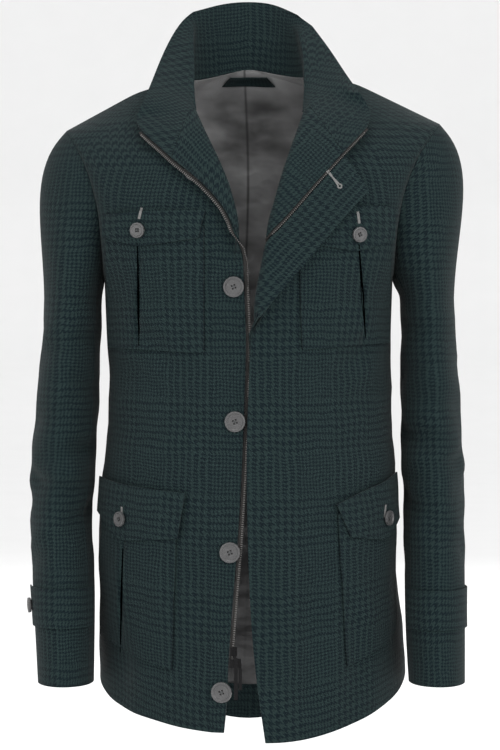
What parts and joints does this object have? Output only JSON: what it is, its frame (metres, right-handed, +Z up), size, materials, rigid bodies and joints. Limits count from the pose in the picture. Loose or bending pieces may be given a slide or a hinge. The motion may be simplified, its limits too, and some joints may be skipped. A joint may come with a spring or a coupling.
{
  "type": "field jacket",
  "caption": "Winter field jacket in checked wool, filled out as worn: turned-out collar and fronts, flapped patch pockets, cuff straps, buttons and an open zip.",
  "frame": {"origin": "in the middle between the wearer's shoulders, level with the seams at the sides of the neck, where the jacket hangs", "axes": "+Z up; the jacket's front faces -Y; +X is the wearer's left, the viewer's right"},
  "size_m": [0.5157, 0.3034, 0.8793],
  "materials": {
    "wool": "soft checked wool, matt",
    "lining": "satin",
    "zip_tape": "woven tape",
    "button": "satin",
    "black_metal": "glossy black"
  },
  "bodies": {
    "jacket": {"front_right": "wool", "front_left": "wool", "back": "wool", "collar_outer": "wool", "collar_inner": "wool", "back_hem": "wool", "facing_right": "wool", "facing_left": "wool", "fly_left": "wool", "neck_tab": "wool", "sleeve_upper_right": "wool", "sleeve_under_right": "wool", "cuff_strap_right": "wool", "chest_pocket_right": "wool", "chest_flap_right": "wool", "hip_pocket_right": "wool", "hip_flap_right": "wool", "sleeve_upper_left": "wool", "sleeve_under_left": "wool", "cuff_strap_left": "wool", "chest_pocket_left": "wool", "chest_flap_left": "wool", "hip_pocket_left": "wool", "hip_flap_left": "wool", "back_lining": "lining", "zip_tape_right": "zip_tape", "zip_tape_left": "zip_tape", "front_button_1": "button", "front_button_2": "button", "front_button_3": "button", "front_button_4": "button", "front_button_5": "button", "chest_button_right": "button", "chest_button_left": "button", "hip_button_right": "button", "hip_button_left": "button", "cuff_button_right": "button", "cuff_button_left": "button", "zip_slider_upper": "black_metal", "zip_slider_lower": "black_metal"},
    "pull_upper": {"zip_pull_upper": "black_metal"},
    "pull_lower": {"zip_pull_lower": "black_metal"}
  },
  "joints": [
    {"name": "pull_upper_hinge", "type": "hinge", "parent": "jacket", "child": "pull_upper", "pos_m": [-0.016, -0.15191, -0.654], "axis": [-1, 0, 0], "range_deg": [0, 150]},
    {"name": "pull_lower_hinge", "type": "hinge", "parent": "jacket", "child": "pull_lower", "pos_m": [-0.0098, -0.15199, -0.667], "axis": [-1, 0, 0], "range_deg": [0, 150]}
  ]
}
